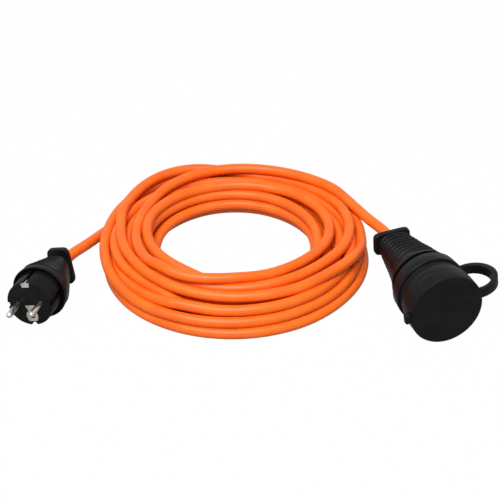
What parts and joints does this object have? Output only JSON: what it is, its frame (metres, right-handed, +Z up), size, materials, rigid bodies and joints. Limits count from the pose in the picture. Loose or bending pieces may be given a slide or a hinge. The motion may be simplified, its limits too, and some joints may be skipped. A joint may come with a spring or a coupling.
{
  "type": "extension cord",
  "caption": "Coiled rubber extension cord with an earthed two-pin plug at one end and an in-line coupler under a hinged sealing cap on a strap at the other.",
  "frame": {"origin": "floor level, under the middle of the box round the plug and the coupler", "axes": "+X from the plug's side to the coupler's side, -Y the way both mating faces look, +Z up"},
  "size_m": [0.3808, 0.2318, 0.0596],
  "materials": {
    "rubber_black": "satin moulded rubber",
    "plastic_black": "satin moulding",
    "nickel": "nickel plate",
    "brass": "bare",
    "copper": "bare strands",
    "core_brown": "satin",
    "core_blue": "satin",
    "core_green": "satin",
    "jacket_orange": "satin extruded jacket"
  },
  "bodies": {
    "cord_set": {"plug_body": "rubber_black", "plug_collar": "rubber_black", "plug_insert": "plastic_black", "plug_pin_left": "nickel", "plug_pin_right": "nickel", "plug_earth_strip": "nickel", "plug_earth_sleeve": "nickel", "plug_core_brown": "core_brown", "plug_core_blue": "core_blue", "plug_core_green": "core_green", "plug_strands": "copper", "plug_jacket_end": "jacket_orange", "coupler_body": "rubber_black", "coupler_grip": "rubber_black", "coupler_well": "plastic_black", "coupler_carrier_left": "plastic_black", "coupler_carrier_right": "plastic_black", "coupler_contact_left": "brass", "coupler_contact_right": "brass", "coupler_earth_clip": "nickel", "coupler_core_brown": "core_brown", "coupler_core_blue": "core_blue", "coupler_core_green": "core_green", "coupler_strands": "copper", "coupler_jacket_end": "jacket_orange", "cap_ring": "rubber_black", "cap_strap": "rubber_black", "cord_plug_lead": "jacket_orange", "cord_coil": "jacket_orange", "cord_coupler_lead": "jacket_orange"},
    "cap": {"cap": "rubber_black"}
  },
  "joints": [
    {"name": "cap_hinge", "type": "hinge", "parent": "cord_set", "child": "cap", "pos_m": [0.18818, -0.02084, 0.03638], "axis": [-0.1539, -0.0046, 0.9881], "range_deg": [0, 150], "deforming": ["cap_strap"]}
  ]
}
